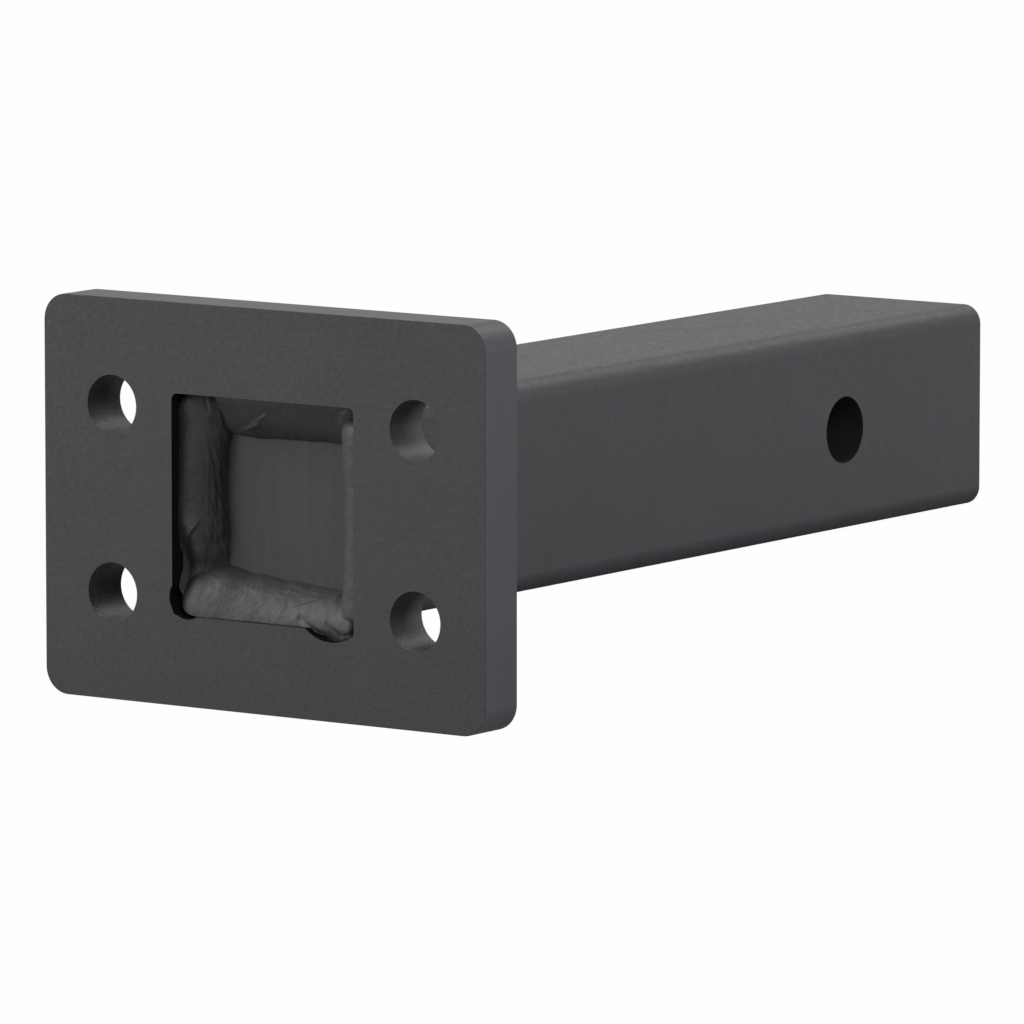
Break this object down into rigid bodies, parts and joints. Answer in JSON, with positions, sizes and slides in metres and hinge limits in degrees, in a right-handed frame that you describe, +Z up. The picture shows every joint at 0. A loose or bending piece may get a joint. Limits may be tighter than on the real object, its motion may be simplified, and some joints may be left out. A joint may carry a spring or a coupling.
{
  "type": "pintle hook mount",
  "caption": "Welded steel hitch mount: a solid square shank with a cross-drilled pin hole, set into a thick rectangular plate drilled for a pintle hook.",
  "frame": {"origin": "centre of the hitch pin bore, on the shank's own axis", "axes": "+Y along the shank away from the plate, +X along the pin bore, +Z up; the hook bolts to the face that looks along -Y"},
  "size_m": [0.127, 0.273, 0.0952],
  "materials": {
    "powder_coat": "satin fine-textured powder coat, charcoal black",
    "coated_weld": "satin powder coat over rippled weld metal"
  },
  "bodies": {
    "root": {"mounting_plate": "powder_coat", "shank_bar": "powder_coat", "window_weld_top": "coated_weld", "window_weld_left": "coated_weld", "window_weld_bottom": "coated_weld", "window_weld_right": "coated_weld", "back_weld_top": "coated_weld", "back_weld_left": "coated_weld", "back_weld_bottom": "coated_weld", "back_weld_right": "coated_weld"}
  },
  "joints": []
}
